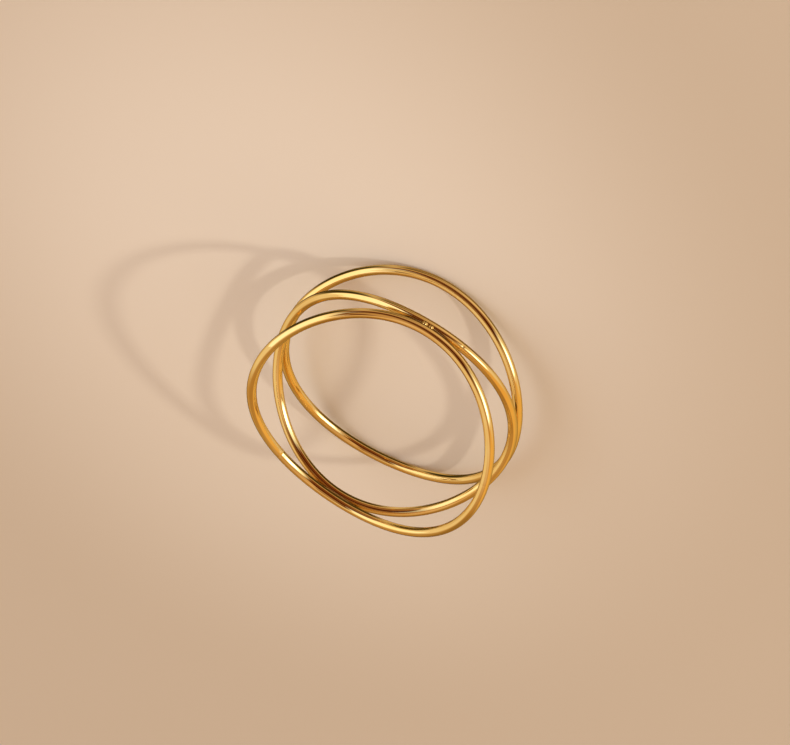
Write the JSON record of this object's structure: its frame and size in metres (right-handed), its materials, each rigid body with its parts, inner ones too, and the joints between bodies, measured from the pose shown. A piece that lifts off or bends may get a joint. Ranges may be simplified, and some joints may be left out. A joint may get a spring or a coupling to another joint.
{
  "type": "stackable ring",
  "caption": "Finger ring of wavy round-wire hoops that lie side by side and are soldered where they touch.",
  "frame": {"origin": "on the ring's axis, in the plane that the ring lies on, under the middle of its box", "axes": "+Z along the ring's axis, from the back hoop that it lies on to the front hoop; +X towards the front hoop's crest within three degrees"},
  "size_m": [0.0188, 0.0188, 0.0083],
  "materials": {
    "polished_gold": "bright polished yellow gold"
  },
  "bodies": {
    "root": {"soldered_ring": "polished_gold"}
  },
  "joints": []
}
